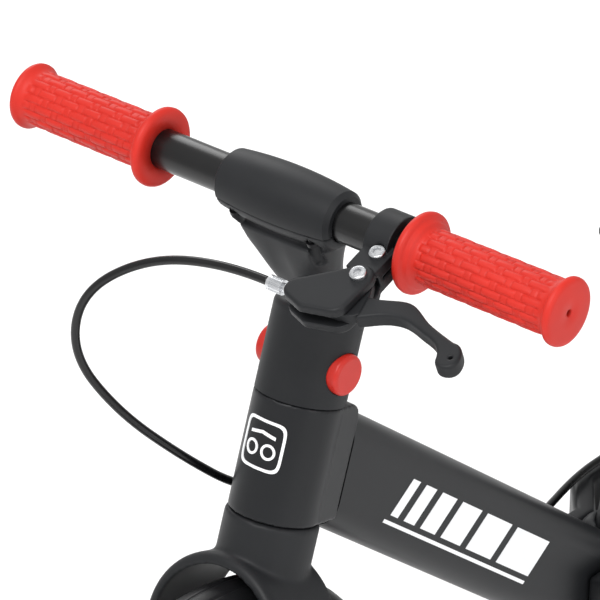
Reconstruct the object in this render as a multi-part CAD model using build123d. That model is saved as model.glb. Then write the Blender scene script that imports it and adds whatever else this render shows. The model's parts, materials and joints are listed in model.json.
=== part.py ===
from build123d import *
import math
import os

os.makedirs("parts", exist_ok=True)

# Balance bike with 12 inch wheels. Millimetres; +Z up, forward is -Y, the rider's left is +X.
# Origin: on the ground, midway between the two axles, in the plane of the wheels.

# Fits and gaps
FIT = 0.05            # radial gap of a seated or sliding fit
RUN = 0.4             # gap between faces that turn past each other
SEAM = 0.4            # joint line between two mouldings of one body

# Wheels
WHEELBASE = 560.0
TYRE_R = 150.0
TYRE_HALF_W = 23.0
TYRE_DEPTH = 27.0
RIM_HALF_W = 16.0
RIM_DEPTH = 11.0
HUB_R = 19.0
HUB_HALF_W = 24.0
SPOKE_PAIRS = 5
SPOKE_W = 11.0
SPOKE_THICK = 14.0
BEARING_R = 13.0
BEARING_W = 8.0
AXLE_R = 5.0
STUB_R = 4.0
STUB_LEN = 8.0
NUT_R = 8.5
NUT_H = 6.0
WASHER_R = 9.5
WASHER_H = 1.6

# Steering: the datum is the top of the head, on the steering axis
HEAD_LEAN = 19.0      # degrees back from upright
AXLE_DROP = 256.0     # along the steering axis, head top to front axle
HEAD_R = 25.7
HEAD_LEN = 68.8
HEAD_LUG_BACK = 32.0
STEERER_R = 12.7
STEERER_WALL = 1.8
BUSH_R = 17.0
BUSH_LEN = 16.0
BUSH_FLANGE_R = 21.0
BUSH_FLANGE_H = 2.0

# Fork
NECK_R = 26.7
ARCH_INNER_R = 41.5
ARCH_WALL = 7.0
ARCH_TOP_GAP = 7.5    # tyre to arch
ARCH_FRONT = 32.0
ARCH_BACK = 24.0
LEG_WALL = 9.0
DROPOUT_R = 17.0

# Collar and lock buttons
COLLAR_H = 54.0
COLLAR_FLOOR = 7.0
COLLAR_CAVITY_R = 22.4
COLLAR_CAVITY_TOP = 36.0
BUTTON_Z = 20.5
BUTTON_R = 11.8
BUTTON_PROUD = 3.6
BUTTON_PIN_R = 4.0

# Stem and handlebar
STEM_TUBE_R = 13.5
STEM_TUBE_WALL = 2.6
BAR_Y = -50.4
BAR_Z = 114.2
BAR_R = 11.1
BAR_WALL = 1.6
BAR_HALF = 183.0
SLEEVE_HALF = 40.0
SLEEVE_R = 18.8
SLEEVE_END_R = 16.4
STEM_SCREW_X = 27.0
STEM_SCREW_OUT = 14.8

# Grips
GRIP_END = 188.0
GRIP_START = 88.5
GRIP_R = 15.4
GRIP_FLANGE_R = 22.7
GRIP_FLANGE_W = 5.0
GRIP_STEP_R = 18.6
GRIP_END_R = 18.8
GRIP_VENT_R = 1.9

# Brake lever, drawn in its own plane: along the bar, and out from the bar's axis
LEVER_DROP = 40.0     # degrees below square to the steering axis
BRACKET_HALF_T = 9.0
EAR_HALF_T = 7.5
SLOT_HALF = 3.6
LEVER_ROOT_HALF = 3.1
BLADE_HALF = 4.5
CLAMP_X = 73.0
CLAMP_W = 16.0
CLAMP_WALL = 5.2
CLAMP_SCREW = (76.7, 15.8)
LEVER_PIVOT = (77.9, 33.4)
PIVOT_R = 3.0
SCREW_HEAD_R = 4.7
SCREW_HEAD_H = 2.6
ADJUSTER_OUT = 52.5
ADJUSTER_END = 30.5
ADJUSTER_R = 4.2
ADJUSTER_LEN = 9.5
NIPPLE = (66.0, 52.5)
NIPPLE_R = 3.0
LEVER_SWING = 18.0    # degrees of pull

# Cable
CABLE_R = 2.5
WIRE_R = 0.8
CLIP_WALL = 1.6

# Beam
BEAM_H = 66.5
BEAM_W = 39.0
BEAM_CORNER = 0.436 * BEAM_W
BEAM_WALL = 2.5
BEAM_FALL = 38.75     # degrees below level
BEAM_TOP_DROP = 42.2  # beam centre under the head top, at the back of the head lug
SPIGOT_LEN = 16.0
SPIGOT_GAP = 0.2

# Knee, seat tube and stays
KNEE_Y = 94.0
KNEE_SOCKET = 52.0
KNEE_HALF_W = 21.0
KNEE_R = 33.0
YOKE_Y = 100.0
YOKE_Z = 150.0
YOKE_R = 20.0
SEAT_LEAN = 15.0      # degrees back from upright
SEAT_TUBE_R = 15.6
SEAT_TUBE_TOP = 275.0
SEAT_POST_R = 12.7
SEAT_POST_WALL = 1.8
SEAT_POST_TOP = 338.0
SEAT_POST_INSERT = 85.0
STAY_GAP = 45.0       # inner face of a stay, from the wheel plane
STAY_T = 13.0
STAY_H = 32.0
STAY_START_Y = 46.0
STAY_BOLT_R = 4.0

# Seat clamp
CLAMP_H = 18.0
SEAT_CLAMP_WALL = 5.0
CLAMP_SLIT = 2.5
EAR_BACK = 15.0
EAR_HALF = 10.0
SKEWER_R = 2.5
CAM_R = 5.5
QR_LEN = 42.0
QR_SWING = 120       # degrees

# Saddle
SADDLE_NOSE_Y = 90.0
SADDLE_TAIL_Y = 294.0
NOSE_R = 23.0
TAIL_R = 36.0
TAIL_X = 34.0
SHELL_H = 10.0
PAD_H = 30.0
PAD_ROUND = 12.0
SADDLE_BRACKET_R = 17.0
SADDLE_BRACKET_H = 24.0
PLATFORM_L = 64.0
PLATFORM_W = 44.0
PLATFORM_T = 5.0

# Rear drum brake, on the rider's right of the rear wheel
DRUM_R = 34.0
DRUM_WALL = 4.0
DRUM_IN = 24.0        # from the wheel plane to the drum's inner face
DRUM_W = 12.0
PLATE_T = 2.4
PLATE_R = 36.0
SHOE_T = 4.0
CAM_AT = 24.0         # brake cam, above the axle
CAM_SHAFT_R = 4.0
ARM_T = 3.0
ARM_LEN = 34.0
ANCHOR_R = 3.0

# Badge and beam graphic
BADGE_R = 15.0
BADGE_T = 0.8
BADGE_Z = -26.4       # under the head top


def save(name, shape):
    export_step(shape, f"parts/{name}.step")


def rod(start, end, radius):
    axis = Vector(*end) - Vector(*start)
    base = Plane(origin=start, z_dir=axis)
    return base.location * Cylinder(radius, axis.length, align=(Align.CENTER, Align.CENTER, Align.MIN))


def pipe(start, end, outer, inner):
    return rod(start, end, outer) - rod(start, end, inner)


def across(y, z, x0, x1, radius):
    """A round bar along X."""
    return rod((x0, y, z), (x1, y, z), radius)


def both(shape):
    """The shape and its mirror image across the wheel plane, as one group."""
    return Compound(children=[shape, mirror(shape, about=Plane.YZ)])


def hull(circles):
    """A flat outline pulled tight round circles given as (x, y, radius)."""
    edges = [Pos(x, y) * Circle(r).edge() for x, y, r in circles]
    return make_hull(edges)


def round_ends(solid, radius):
    """Rounds the two rims of a bar or ring that lies along X."""
    return fillet(solid.edges().filter_by(GeomType.CIRCLE), radius)


def rim_edges(slab_solid):
    """The edges of a slab's two flat faces."""
    groups = slab_solid.edges().group_by(Axis.Z)
    return groups[0] + groups[-1]


# ---- frames of reference ----
lean = math.radians(HEAD_LEAN)
AXIS = Vector(0, math.sin(lean), math.cos(lean))
FRONT_AXLE = Vector(0, -WHEELBASE / 2, TYRE_R)
REAR_AXLE = Vector(0, WHEELBASE / 2, TYRE_R)
HEAD_TOP = FRONT_AXLE + AXIS * AXLE_DROP
STEER = Plane(origin=HEAD_TOP, x_dir=(1, 0, 0), z_dir=AXIS)

drop = math.radians(LEVER_DROP)
LEVER_UP = Vector(0, -math.sin(drop), math.cos(drop))
BAR = Vector(0, BAR_Y, BAR_Z)
LEVER = Plane(origin=BAR, x_dir=(1, 0, 0), z_dir=-LEVER_UP)

fall = math.radians(BEAM_FALL)
BEAM_DIR = Vector(0, math.cos(fall), -math.sin(fall))
BEAM_START = STEER.from_local_coords(Vector(0, HEAD_LUG_BACK, -BEAM_TOP_DROP))
BEAM_LEN = (KNEE_Y - BEAM_START.Y) / math.cos(fall)
KNEE = BEAM_START + BEAM_DIR * BEAM_LEN

seat_lean = math.radians(SEAT_LEAN)
SEAT_DIR = Vector(0, math.sin(seat_lean), math.cos(seat_lean))


def in_steering(shape):
    return STEER.location * shape


def in_lever(shape):
    return STEER.location * (LEVER.location * shape)


def on_seat_line(height):
    return KNEE + SEAT_DIR * ((height - KNEE.Z) / SEAT_DIR.Z)


def xyz(vector):
    return (vector.X, vector.Y, vector.Z)


# ---- wheels ----
def ring_about_x(profile, centre):
    """Turns a flat outline, drawn as (x, radius), round the wheel's axle."""
    solid = revolve(profile, Axis.X)
    return Pos(*xyz(centre)) * solid


def tyre(centre):
    seat = TYRE_R - TYRE_DEPTH
    body = Pos(0, TYRE_R - TYRE_HALF_W) * Circle(TYRE_HALF_W)
    foot = Pos(0, (seat + TYRE_R - TYRE_HALF_W) / 2) * Rectangle(
        2 * RIM_HALF_W - 4, TYRE_R - TYRE_HALF_W - seat)
    outline = body + foot
    keep = Pos(0, (seat + TYRE_R) / 2) * Rectangle(2 * TYRE_HALF_W + 2, TYRE_DEPTH)
    return ring_about_x(outline & keep, centre)


def wheel_disc(centre):
    """A moulded wheel: rim channel, paired spokes and hub barrel."""
    seat = TYRE_R - TYRE_DEPTH
    half = RIM_HALF_W
    channel = Pos(0, seat - RIM_DEPTH / 2) * Rectangle(2 * half, RIM_DEPTH)
    rim = revolve(channel, Axis.X)
    rim = round_ends(rim, 2.5)
    hub = Rot(0, 90, 0) * Cylinder(HUB_R, 2 * HUB_HALF_W)
    reach = seat - RIM_DEPTH / 2
    spokes = []
    for turn in range(SPOKE_PAIRS):
        for side in (-1, 1):
            angle = 360.0 * turn / SPOKE_PAIRS + side * 11.0
            bar = Pos(0, 0, reach / 2) * Box(SPOKE_THICK, SPOKE_W, reach)
            bar = fillet(bar.edges().filter_by(Axis.Z), 4.0)
            spokes.append(Rot(angle, 0, 0) * bar)
    solid = rim + hub + spokes
    for side in (-1, 1):
        outer = side * HUB_HALF_W
        pocket = across(0, 0, outer, outer - side * BEARING_W, BEARING_R + FIT)
        solid -= pocket
    solid -= across(0, 0, -HUB_HALF_W, HUB_HALF_W, AXLE_R + 4.0)
    return Pos(*xyz(centre)) * solid


def bearings(centre):
    """Two ball bearings: each is its outer ring, inner ring and shield as one turned part."""
    pair = []
    for side in (-1, 1):
        outer = side * (HUB_HALF_W - 0.1)
        inner = side * (HUB_HALF_W - BEARING_W + 0.1)
        race = pipe((outer, 0, 0), (inner, 0, 0), BEARING_R, AXLE_R + FIT)
        groove = pipe((outer, 0, 0), (outer - side * 0.6, 0, 0), BEARING_R - 2.2, AXLE_R + 2.4)
        pair.append(Pos(*xyz(centre)) * (race - groove))
    return Compound(children=pair)


def hub_spacer(centre):
    half = HUB_HALF_W - BEARING_W - 0.2
    tube = pipe((-half, 0, 0), (half, 0, 0), AXLE_R + 2.4, AXLE_R + FIT)
    return Pos(*xyz(centre)) * tube


def axle(centre, face):
    """Threaded rod with a turned stub beyond each nut, for training wheels or pegs."""
    half = face + WASHER_H + NUT_H + 1.5
    bar = across(0, 0, -half, half, AXLE_R)
    bar += across(0, 0, -half - STUB_LEN, half + STUB_LEN, STUB_R)
    return Pos(*xyz(centre)) * bar


def end_spacers(centre, inner_face):
    start = HUB_HALF_W + 0.1
    bush = pipe((start, 0, 0), (inner_face - 0.1, 0, 0), AXLE_R + 2.6, AXLE_R + FIT)
    return Pos(*xyz(centre)) * both(bush)


def washers(centre, face):
    disc = pipe((face, 0, 0), (face + WASHER_H, 0, 0), WASHER_R, AXLE_R + FIT)
    disc = round_ends(disc, 0.4)
    return Pos(*xyz(centre)) * both(disc)


def nuts(centre, face):
    start = face + WASHER_H + 0.05
    flat = Rot(0, 90, 0) * extrude(RegularPolygon(NUT_R, 6), NUT_H)
    nut = Pos(start, 0, 0) * flat - across(0, 0, start - 1, start + NUT_H + 1, AXLE_R + FIT)
    return Pos(*xyz(centre)) * both(nut)


# ---- head ----
def head_outline():
    """The head's round front, with flat sides that close in to the beam."""
    back = HEAD_LUG_BACK
    half = BEAM_W / 2
    lug = Polyline((0, HEAD_R), (HEAD_R, 0), (half, back), (-half, back), (-HEAD_R, 0), (0, HEAD_R))
    return Circle(HEAD_R) + make_face(lug) + Pos(0, back / 2) * Rectangle(BEAM_W, back)


def head_casting():
    body = extrude(head_outline(), -HEAD_LEN)
    rear = body.edges().filter_by(Axis.X).sort_by(Axis.Z)[-1:]
    body = fillet(rear, 12.0)
    body = Pos(0, 0, -SEAM / 2) * body
    body -= rod((0, 0, -HEAD_LEN - 1), (0, 0, 1), BUSH_R - 2.0)
    for top, way in ((-SEAM / 2, -1), (-HEAD_LEN - SEAM / 2, 1)):
        body -= rod((0, 0, top), (0, 0, top + way * BUSH_LEN), BUSH_R + FIT)
        body -= rod((0, 0, top), (0, 0, top + way * BUSH_FLANGE_H), BUSH_FLANGE_R + FIT)
    return in_steering(body)


def head_bush(top, way):
    """A flanged nylon bush, which guides the steerer and takes the thrust."""
    face = top - way * SEAM / 4
    flange = rod((0, 0, face), (0, 0, top + way * (BUSH_FLANGE_H - 0.1)), BUSH_FLANGE_R)
    barrel = rod((0, 0, face), (0, 0, top + way * (BUSH_LEN - 0.1)), BUSH_R)
    bore = rod((0, 0, face - way), (0, 0, top + way * (BUSH_LEN + 1)), STEERER_R + FIT)
    return in_steering(flange + barrel - bore)


def steerer():
    start = -HEAD_LEN - SEAM - 20.0
    end = COLLAR_FLOOR - 0.1
    tube = pipe((0, 0, start), (0, 0, end), STEERER_R, STEERER_R - STEERER_WALL)
    return in_steering(tube)


def beam_section(margin):
    return RectangleRounded(BEAM_W - 2 * margin, BEAM_H - 2 * margin, BEAM_CORNER - margin)


def beam_plane(distance):
    return Plane(origin=BEAM_START + BEAM_DIR * distance, x_dir=(1, 0, 0), z_dir=BEAM_DIR)


def beam_bar(start, end, margin):
    return extrude(beam_plane(start) * beam_section(margin), end - start)


def beam():
    """A hollow beam: its upper end is cut square to the steering axis, against the head lug."""
    end = BEAM_LEN - KNEE_SOCKET
    long_bar = beam_bar(-60.0, end, 0.0) - beam_bar(-61.0, end + 1.0, BEAM_WALL)
    front = Pos(0, HEAD_LUG_BACK - 200.0 + SEAM / 4, -50.0) * Box(200, 400, 400)
    return long_bar - in_steering(front)


def beam_spigot():
    """A plug on the head lug that the hollow beam is bonded over."""
    inside = beam_bar(-60.0, 40.0, BEAM_WALL + SPIGOT_GAP)
    back = HEAD_LUG_BACK
    window = Pos(0, back + SPIGOT_LEN / 2 - 1.0, -50.0) * Box(100, SPIGOT_LEN + 2.0, 200)
    return inside & in_steering(window)


def head_badge():
    """A plain round emblem, curved to the front of the head."""
    skin = pipe((0, 0, -HEAD_LEN), (0, 0, 0), HEAD_R + BADGE_T, HEAD_R + 0.05)
    punch = rod((0, -HEAD_R - 9, BADGE_Z), (0, 0, BADGE_Z), BADGE_R)
    return in_steering(skin & punch)


# ---- fork ----
def arch_top():
    return -AXLE_DROP + TYRE_R + ARCH_TOP_GAP


def arch_centre():
    return arch_top() - ARCH_INNER_R


def leg_joint():
    return arch_centre() - 14.0


def arch_outline(radius):
    """A half circle over straight sides, drawn as (x, z) down to the leg joint."""
    centre = arch_centre()
    low = leg_joint()
    half = Pos(0, centre) * Circle(radius)
    sides = Pos(0, (centre + low) / 2) * Rectangle(2 * radius, centre - low)
    keep = Pos(0, low + 100) * Rectangle(4 * radius, 200)
    return (half + sides) & keep


def fork_crown():
    depth = ARCH_FRONT + ARCH_BACK
    outer = arch_outline(ARCH_INNER_R + ARCH_WALL)
    inner = arch_outline(ARCH_INNER_R)
    face = Plane(origin=(0, -ARCH_FRONT, 0), x_dir=(1, 0, 0), z_dir=(0, -1, 0))
    shell = extrude(face * outer, -depth)
    shell = fillet(shell.edges().filter_by(GeomType.CIRCLE), 5.0)
    top = -HEAD_LEN - SEAM - SEAM / 2
    neck = rod((0, 0, top), (0, 0, arch_centre()), NECK_R)
    neck = fillet(neck.edges().sort_by(Axis.Z)[-1:], 1.6)
    body = shell + neck
    mouth = Plane(origin=(0, -2 * ARCH_FRONT, 0), x_dir=(1, 0, 0), z_dir=(0, -1, 0))
    body -= extrude(mouth * inner, -3 * depth)
    body -= rod((0, 0, top + 1), (0, 0, -HEAD_LEN - SEAM - 20.1), STEERER_R + FIT)
    body -= both(tongue(FIT))
    return in_steering(body)


def leg_side():
    """A leg seen from the side, as (y, z): wide under the crown, round at the axle."""
    low = leg_joint() - SEAM
    top = [(-ARCH_FRONT + 3, low), (ARCH_BACK - 3, low)]
    foot = Pos(0, -AXLE_DROP) * Circle(DROPOUT_R)
    blade = Polyline(top[0], top[1], (DROPOUT_R, -AXLE_DROP), (-DROPOUT_R, -AXLE_DROP), top[0])
    return make_face(blade) + foot


def tongue(gap):
    """The tenon that joins a leg into the arch's wall."""
    size = 2 * gap
    middle = (ARCH_BACK - ARCH_FRONT) / 2
    return Pos(ARCH_INNER_R + ARCH_WALL / 2, middle, leg_joint()) * Box(3.0 + size, 30.0 + size, 16.0 + size)


def fork_leg():
    inner = ARCH_INNER_R
    side = Plane(origin=(inner, 0, 0), x_dir=(0, 1, 0), z_dir=(1, 0, 0))
    leg = extrude(side * leg_side(), LEG_WALL)
    leg = fillet(leg.faces().sort_by(Axis.X)[-1].edges(), 3.5)
    leg -= across(0, -AXLE_DROP, inner - 1, inner + LEG_WALL + 1, AXLE_R + FIT)
    return in_steering(both(leg + tongue(0.0)))


# ---- collar and buttons ----
def button_hole(side):
    return across(0, BUTTON_Z, side * 10, side * 40, BUTTON_R + RUN)


def stem_collar():
    body = rod((0, 0, SEAM / 2), (0, 0, COLLAR_H), HEAD_R)
    body = fillet(body.edges().sort_by(Axis.Z)[-1:], 5.0)
    body -= rod((0, 0, -1), (0, 0, COLLAR_FLOOR - 1.0), STEERER_R + FIT)
    body -= rod((0, 0, COLLAR_FLOOR), (0, 0, COLLAR_CAVITY_TOP), COLLAR_CAVITY_R)
    body -= rod((0, 0, COLLAR_FLOOR - 2.0), (0, 0, COLLAR_H + 1), STEM_TUBE_R + FIT)
    for side in (-1, 1):
        body -= button_hole(side)
    return in_steering(body)


def button(side):
    """A domed push button with a lock pin that seats in the stem tube."""
    tip = HEAD_R + BUTTON_PROUD
    cap = across(0, BUTTON_Z, 19.5, tip, BUTTON_R)
    cap = fillet(cap.edges().filter_by(GeomType.CIRCLE).sort_by(Axis.X)[-1:], 2.6)
    pin = across(0, BUTTON_Z, STEM_TUBE_R - STEM_TUBE_WALL + 0.2, 19.6, BUTTON_PIN_R)
    solid = cap + pin
    if side < 0:
        solid = mirror(solid, about=Plane.YZ)
    return in_steering(solid)


def button_springs():
    """Two washer springs between the stem tube and the buttons."""
    ring = pipe((STEM_TUBE_R + 0.6, 0, BUTTON_Z), (15.9, 0, BUTTON_Z), BUTTON_PIN_R + 2.6, BUTTON_PIN_R + RUN)
    return in_steering(both(ring))


# ---- stem ----
stem_way = Vector(0, BAR_Y, BAR_Z - COLLAR_H).normalized()
PART_OUT = Vector(0, -stem_way.Z, stem_way.Y)


def sleeve():
    """A barrel round the bar, a little fuller in the middle than at its ends."""
    half = SLEEVE_HALF
    with_ends = [(-half, 0), (-half, SLEEVE_END_R - 2.5), (-half + 2.5, SLEEVE_END_R)]
    crown = ThreePointArc(with_ends[2], (0, SLEEVE_R), (half - 2.5, SLEEVE_END_R))
    rim = Polyline((half - 2.5, SLEEVE_END_R), (half, SLEEVE_END_R - 2.5), (half, 0), with_ends[0])
    start = Polyline(*with_ends)
    return Pos(0, BAR_Y, BAR_Z) * revolve(make_face([start, crown, rim]), Axis.X)


def parting(side, gap):
    """A big block on one side of the stem's split plane, through the bar's axis."""
    plane = Plane(origin=BAR + stem_way * (side * gap / 2), x_dir=(1, 0, 0), z_dir=stem_way * side)
    return extrude(plane * Rectangle(200, 200), 100)


def stem_screw_line(x, way):
    centre = BAR + PART_OUT * (way * STEM_SCREW_OUT) + Vector(x, 0, 0)
    return centre


def stem_screw_holes(radius, low, high):
    holes = []
    for x in (-STEM_SCREW_X, STEM_SCREW_X):
        for way in (-1, 1):
            middle = stem_screw_line(x, way)
            holes.append(rod(xyz(middle - stem_way * low), xyz(middle + stem_way * high), radius))
    return holes


def funnel():
    """The neck: a round tube at the collar that widens into a blade under the bar."""
    low = Plane(origin=(0, 0, COLLAR_H + RUN)) * Circle(STEM_TUBE_R + RUN)
    middle = Plane(origin=(0, -20.0, 74.0), x_dir=(1, 0, 0), z_dir=(0, -0.45, 0.89))
    high = Plane(origin=(0, BAR_Y + 6.0, BAR_Z - 12.0), x_dir=(1, 0, 0), z_dir=stem_way)
    waist = middle * RectangleRounded(42.0, 28.0, 13.5)
    blade = high * RectangleRounded(75.0, 29.0, 13.0)
    return loft([low, waist, blade])


def stem_neck():
    tube = rod((0, 0, COLLAR_FLOOR + 0.2), (0, 0, COLLAR_H + RUN), STEM_TUBE_R)
    half_sleeve = sleeve() & parting(-1, SEAM)
    high_side = parting(1, -SEAM)
    body = tube + (funnel() - high_side) + half_sleeve
    body -= rod((0, 0, 0), (0, 0, COLLAR_H - 4.0), STEM_TUBE_R - STEM_TUBE_WALL)
    body -= across(BAR_Y, BAR_Z, -SLEEVE_HALF - 1, SLEEVE_HALF + 1, BAR_R + FIT)
    for side in (-1, 1):
        body -= across(0, BUTTON_Z, 0, side * 20, BUTTON_PIN_R + RUN)
    body -= stem_screw_holes(2.0 + FIT, 7.0, 4.2)
    body -= stem_screw_holes(3.6, 26.0, -6.0)
    return in_steering(body)


def stem_cap():
    body = sleeve() & parting(1, SEAM)
    body -= across(BAR_Y, BAR_Z, -SLEEVE_HALF - 1, SLEEVE_HALF + 1, BAR_R + FIT)
    body -= stem_screw_holes(2.0 + FIT, 6.0, 4.2)
    return in_steering(body)


def stem_screws():
    screws = []
    shafts = stem_screw_holes(2.0, 6.1, 3.8)
    heads = stem_screw_holes(3.3, 8.6, -6.05)
    for shaft, head in zip(shafts, heads):
        screws.append(in_steering(shaft + head))
    return Compound(children=screws)


def handlebar():
    tube = pipe((-BAR_HALF, BAR_Y, BAR_Z), (BAR_HALF, BAR_Y, BAR_Z), BAR_R, BAR_R - BAR_WALL)
    return in_steering(tube)


def grip(side):
    """A rubber grip: inner flange with a step, straight body, flared closed end."""
    start = GRIP_START
    step = start + GRIP_FLANGE_W
    flare = GRIP_END - 13.0
    shoulder = Polyline(
        (start, 0), (start, GRIP_FLANGE_R - 1.5), (start + 1.5, GRIP_FLANGE_R),
        (step - 0.5, GRIP_FLANGE_R - 0.4), (step + 0.6, GRIP_STEP_R), (step + 2.5, GRIP_STEP_R - 0.4),
        (step + 3.5, GRIP_R), (flare, GRIP_R))
    swell = ThreePointArc((flare, GRIP_R), (GRIP_END - 5.5, GRIP_R + 2.2), (GRIP_END - 2.5, GRIP_END_R))
    close = Polyline((GRIP_END - 2.5, GRIP_END_R), (GRIP_END, GRIP_END_R - 2.0), (GRIP_END, 0), (start, 0))
    solid = revolve(make_face([shoulder, swell, close]), Axis.X)
    solid -= across(0, 0, start - 1, BAR_HALF + FIT, BAR_R + FIT)
    solid -= across(0, 0, BAR_HALF, GRIP_END + 1, GRIP_VENT_R)
    solid = Pos(0, BAR_Y, BAR_Z) * solid
    if side < 0:
        solid = mirror(solid, about=Plane.YZ)
    return in_steering(solid)


# ---- brake lever: x along the bar, y out from the bar, z downwards ----
def slab(outline, half):
    return extrude(outline, half, both=True)


def clamp_ring(radius):
    ring = Rot(0, 90, 0) * Cylinder(radius, CLAMP_W)
    return Pos(CLAMP_X, 0, 0) * ring


def lever_bracket():
    """A split clamp round the bar, and two plates that the lever works between."""
    px, py = LEVER_PIVOT
    plates = hull([(px, py, 8.0), (52.5, 54.5, 7.0), (62.0, 57.5, 7.0), (77.0, 53.0, 8.0)])
    ears = Pos(CLAMP_X + 2.0, 17.0) * Rectangle(CLAMP_W + 2, 26.0)
    body = slab(plates, BRACKET_HALF_T)
    body = fillet(rim_edges(body), 2.0)
    body += slab(ears, EAR_HALF_T)
    body += clamp_ring(BAR_R + CLAMP_WALL)
    body -= across(0, 0, 0, 150, BAR_R + FIT)
    body -= Pos(CLAMP_X, 14.0, 0) * Box(60, 19.0, 1.6)
    slot = Pos(68.0, 52.5) * Rectangle(80, 52.0)
    body -= slab(slot, SLOT_HALF)
    cx, cy = CLAMP_SCREW
    body -= Pos(cx, cy) * Cylinder(2.5 + FIT, 40)
    body -= rod((cx, cy, -EAR_HALF_T), (cx, cy, -40), SCREW_HEAD_R + FIT)
    body -= Pos(px, py) * Cylinder(PIVOT_R + FIT, 40)
    stop = across(ADJUSTER_OUT, 0, 45.0, 55.0, 5.4)
    body += stop
    body -= across(ADJUSTER_OUT, 0, 30.0, 60.0, 2.6 + FIT)
    return in_lever(body)


def lever_screw(place, radius, half_t):
    """A pan-head screw with a hex socket; its head is on the upper side."""
    x, y = place
    top = -half_t - FIT
    shaft = rod((x, y, top), (x, y, half_t - 2.0), radius)
    head = rod((x, y, top), (x, y, top - SCREW_HEAD_H), SCREW_HEAD_R)
    head = fillet(head.edges().sort_by(Axis.Z)[:1], 1.0)
    socket = Pos(x, y, top - SCREW_HEAD_H + 0.7) * extrude(RegularPolygon(2.4, 6), -3)
    return in_lever(shaft + head - socket)


def lever_blade_outline():
    upper = Spline((85.0, 40.0), (99.0, 37.1), (112.0, 33.6), (127.0, 39.6), (138.0, 43.0), (149.0, 45.5))
    tip = Spline((149.0, 45.5), (157.6, 50.5), (158.0, 60.0), (152.0, 62.6), (146.5, 58.0))
    lower = Spline((146.5, 58.0), (141.3, 51.6), (128.0, 47.2), (116.3, 44.6), (103.0, 47.6), (92.0, 54.5), (85.0, 57.0))
    return make_face([upper, tip, lower, Line((85.0, 57.0), (85.0, 40.0))])


def brake_lever():
    px, py = LEVER_PIVOT
    nx, ny = NIPPLE
    root = hull([(px, py, 6.4), (nx, ny, 5.4), (84.0, 48.0, 7.6)])
    blade = slab(lever_blade_outline(), BLADE_HALF)
    blade = fillet(rim_edges(blade), 1.6)
    clear = hull([(px, py, 8.0 + RUN), (52.5, 54.5, 7.4), (62.0, 57.5, 7.4), (77.0, 53.0, 8.0 + RUN)])
    swept = slab(clear, BRACKET_HALF_T + 1)
    turned = Pos(px, py) * Rot(0, 0, -LEVER_SWING) * Pos(-px, -py) * swept
    body = slab(root, LEVER_ROOT_HALF) + (blade - swept - turned)
    body -= Pos(px, py) * Cylinder(PIVOT_R + FIT, 40)
    body -= Pos(nx, ny) * Cylinder(NIPPLE_R + FIT, 40)
    body -= Pos(154.0, 55.0) * Cylinder(1.2, 40)
    body -= across(ny, 0, nx - 12, nx, 1.2)
    return in_lever(body)


def cable_nipple():
    nx, ny = NIPPLE
    barrel = Pos(nx, ny) * Cylinder(NIPPLE_R, 2 * LEVER_ROOT_HALF - 0.2)
    return in_lever(barrel)


def lever_spring():
    px, py = LEVER_PIVOT
    coil = Pos(px, py, (SLOT_HALF + LEVER_ROOT_HALF) / 2) * Cylinder(5.6, 0.28)
    return in_lever(coil - Pos(px, py) * Cylinder(PIVOT_R + 0.2, 40))


def barrel_adjuster():
    """A knurled thumb barrel and its hollow thread."""
    end = ADJUSTER_END
    knob = across(ADJUSTER_OUT, 0, end, end + ADJUSTER_LEN, ADJUSTER_R)
    flutes = []
    for k in range(14):
        turn = 2 * math.pi * k / 14
        y = ADJUSTER_OUT + ADJUSTER_R * math.cos(turn)
        z = ADJUSTER_R * math.sin(turn)
        flutes.append(across(y, z, end + 2.0, end + ADJUSTER_LEN, 0.45))
    body = knob - flutes
    body += across(ADJUSTER_OUT, 0, end + ADJUSTER_LEN - 0.1, 54.5, 2.6)
    body -= across(ADJUSTER_OUT, 0, end - 1, 60.0, 1.2)
    return in_lever(body)


# ---- knee, seat tube and stays ----
def frame_knee():
    """The casting where beam, seat tube and stays meet."""
    side = Plane(origin=(-KNEE_HALF_W, 0, 0), x_dir=(0, 1, 0), z_dir=(1, 0, 0))
    outline = hull([(KNEE.Y, KNEE.Z, KNEE_R), (YOKE_Y, YOKE_Z, YOKE_R)])
    body = extrude(side * outline, 2 * KNEE_HALF_W)
    flats = body.edges().group_by(Axis.X)
    body = fillet(flats[0] + flats[-1], 5.0)
    end = BEAM_LEN - KNEE_SOCKET
    body += beam_bar(end + SEAM / 4, BEAM_LEN, 0.0)
    body += beam_bar(end - SPIGOT_LEN, end + 1.0, BEAM_WALL + SPIGOT_GAP)
    body -= rod(xyz(KNEE), xyz(on_seat_line(SEAT_TUBE_TOP)), SEAT_TUBE_R + FIT)
    for y, z in stay_bolt_places():
        body -= across(y, z, -KNEE_HALF_W - 1, KNEE_HALF_W + 1, STAY_BOLT_R + FIT)
    return body


def seat_tube():
    low = xyz(KNEE + SEAT_DIR * 0.1)
    return pipe(low, xyz(on_seat_line(SEAT_TUBE_TOP)), SEAT_TUBE_R, SEAT_POST_R + FIT)


def stay_bolt_places():
    return [(YOKE_Y - 40.0, YOKE_Z - 4.0), (YOKE_Y - 24.0, YOKE_Z - 4.0)]


def stay_outline():
    """A stay in plan, on the rider's left: along the knee, out round the tyre, back to the axle."""
    near = KNEE_HALF_W + FIT
    axle_y = REAR_AXLE.Y
    flare = YOKE_Y + 8.0
    inside = [(near, STAY_START_Y), (near, flare), (STAY_GAP, flare + 30.0), (STAY_GAP, axle_y)]
    outside = [(STAY_GAP + STAY_T, axle_y), (STAY_GAP + STAY_T, flare + 22.0), (near + STAY_T, flare - 6.0),
               (near + STAY_T, STAY_START_Y), (near, STAY_START_Y)]
    return make_face(Polyline(inside + outside))


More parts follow.
